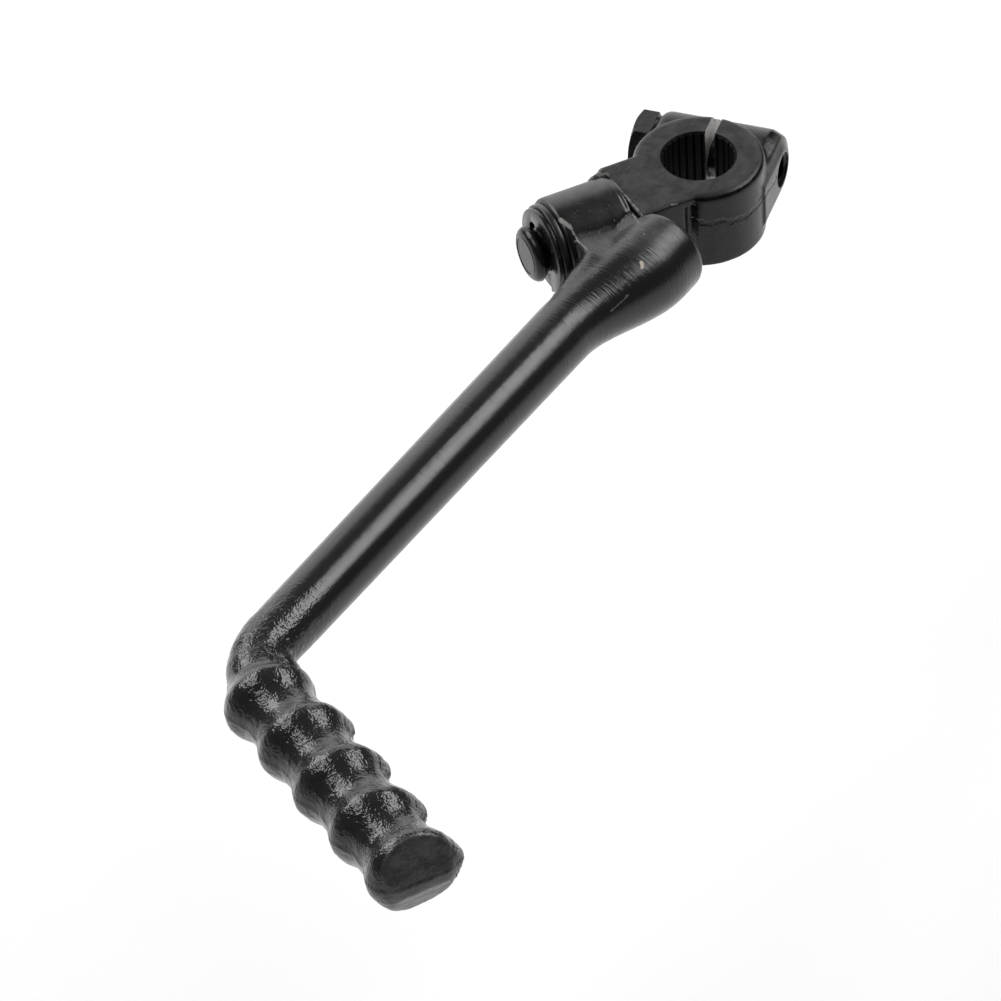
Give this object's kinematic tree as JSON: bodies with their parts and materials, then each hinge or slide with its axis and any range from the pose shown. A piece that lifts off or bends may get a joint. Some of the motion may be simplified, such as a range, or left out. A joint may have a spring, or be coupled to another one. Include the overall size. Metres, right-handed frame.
{
  "type": "kick start lever",
  "caption": "Folding kick start lever: splined, split clamp boss with a pinch bolt, turned pivot stub with washer and clip, tapering forged arm and ribbed foot pedal.",
  "frame": {"origin": "middle of the splined bore, on the axis of the kick shaft", "axes": "+Z along the kick shaft towards the engine, +X along the pivot from the clamp boss to the clip, +Y the way the folded pedal points"},
  "size_m": [0.1719, 0.1765, 0.0206],
  "materials": {
    "black_paint": "gloss black paint over a forged skin, chipped along its edges",
    "black_bolt": "satin black",
    "black_washer": "satin black",
    "black_clip": "satin black",
    "bright_steel": "polished"
  },
  "bodies": {
    "clamp": {"knuckle": "black_paint", "pinch_bolt": "black_bolt", "thrust_washer": "black_washer", "retaining_clip": "black_clip", "detent_ball": "bright_steel", "detent_spring": "bright_steel"},
    "lever": {"lever_arm": "black_paint"}
  },
  "joints": [
    {"name": "fold", "type": "hinge", "parent": "clamp", "child": "lever", "pos_m": [0, 0.0019, 0.0005], "axis": [1, 0, 0], "range_deg": [-90, 0]}
  ]
}
